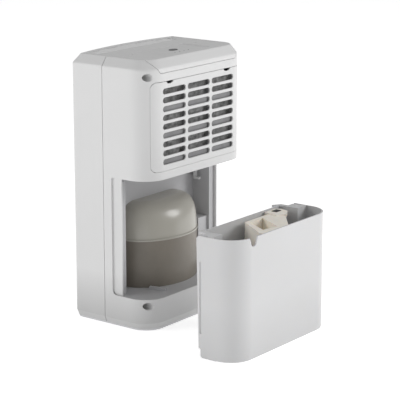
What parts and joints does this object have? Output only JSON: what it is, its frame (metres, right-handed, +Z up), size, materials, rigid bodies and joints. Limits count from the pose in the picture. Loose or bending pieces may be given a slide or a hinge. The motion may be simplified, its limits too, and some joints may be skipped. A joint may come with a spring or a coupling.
{
  "type": "dehumidifier",
  "caption": "Compact compressor dehumidifier with a rear air grille and a removable water tank drawn out behind it.",
  "frame": {"origin": "middle of the flat underside of the base pan, on the surface the unit stands on", "axes": "+Z up, +Y to the rear, where the inlet grille and the tank are, +X to the side"},
  "size_m": [0.307, 0.3815, 0.4502],
  "materials": {
    "casing_white": "fine moulded texture, satin",
    "tank_white": "smooth satin moulding",
    "bay_grey": "fine moulded texture",
    "cover_beige": "smooth glossy moulding",
    "panel_grey": "printed film, satin",
    "louvre_grey": "satin moulding",
    "button_dark": "satin moulding",
    "lamp_clear": "clear light pipe",
    "filter_grey": "moulded frame",
    "mesh_grey": "fine nylon mesh",
    "float_cream": "natural moulded plastic",
    "magnet_black": "black ferrite block",
    "rubber_black": "soft matt rubber",
    "board_green": "solder mask",
    "compressor_black": "baked enamel",
    "fin_aluminium": "thin pressed fins",
    "tube_copper": "drawn copper tube",
    "steel_zinc": "zinc plated",
    "inner_black": "moulded",
    "pan_grey": "moulded"
  },
  "bodies": {
    "main": {"front_casing": "casing_white", "rear_casing": "casing_white", "casing_screws": "steel_zinc", "top_cover": "casing_white", "base_pan": "pan_grey", "rubber_feet": "rubber_black", "outlet_louvre": "louvre_grey", "control_panel": "panel_grey", "indicator_lenses": "lamp_clear", "control_board": "board_green", "tank_bay": "bay_grey", "compressor_sleeve": "cover_beige", "compressor_dome": "cover_beige", "side_box": "bay_grey", "compressor": "compressor_black", "compressor_grommets": "rubber_black", "terminal_cover": "inner_black", "refrigerant_pipes": "tube_copper", "run_capacitor": "fin_aluminium", "capacitor_clip": "steel_zinc", "cord_gland": "rubber_black", "evaporator_fins": "fin_aluminium", "evaporator_tubes": "tube_copper", "condenser_fins": "fin_aluminium", "condenser_tubes": "tube_copper", "coil_brackets": "steel_zinc", "drip_tray": "inner_black", "fan_motor": "steel_zinc", "fan_scroll": "pan_grey", "lever_pin": "steel_zinc", "micro_switch": "inner_black", "float_sensor": "inner_black"},
    "fan": {"fan_impeller": "inner_black", "motor_shaft": "steel_zinc"},
    "grille": {"inlet_grille": "casing_white", "filter_frame": "filter_grey", "filter_mesh": "mesh_grey"},
    "button": {"power_button": "button_dark"},
    "lever": {"switch_lever": "louvre_grey"},
    "tank": {"tank_shell": "tank_white", "float_pin": "steel_zinc"},
    "float": {"tank_float": "float_cream", "float_magnet": "magnet_black"}
  },
  "joints": [
    {"name": "tank_carry", "type": "slide", "parent": "main", "child": "tank", "axis": [-0.3056, -0.8608, 0.4069], "range_m": [0, 0.13417]},
    {"name": "float_lift", "type": "hinge", "parent": "tank", "child": "float", "pos_m": [-0.011, 0.2055, 0.186], "axis": [0, -1, 0], "range_deg": [0, 5]},
    {"name": "grille_tilt", "type": "hinge", "parent": "main", "child": "grille", "pos_m": [0, 0.08, 0.267], "axis": [-1, 0, 0], "range_deg": [0, 35]},
    {"name": "fan_spin", "type": "hinge", "parent": "main", "child": "fan", "pos_m": [0, -0.044, 0.344], "axis": [0, 1, 0], "continuous": true},
    {"name": "power_press", "type": "slide", "parent": "main", "child": "button", "axis": [0, 0, -1], "range_m": [0, 0.0006], "stiffness_N_per_m": 800},
    {"name": "lever_swing", "type": "hinge", "parent": "main", "child": "lever", "pos_m": [-0.107, -0.01, 0.265], "axis": [-1, 0, 0], "range_deg": [0, 8], "stiffness_Nm_per_rad": 0.02}
  ]
}
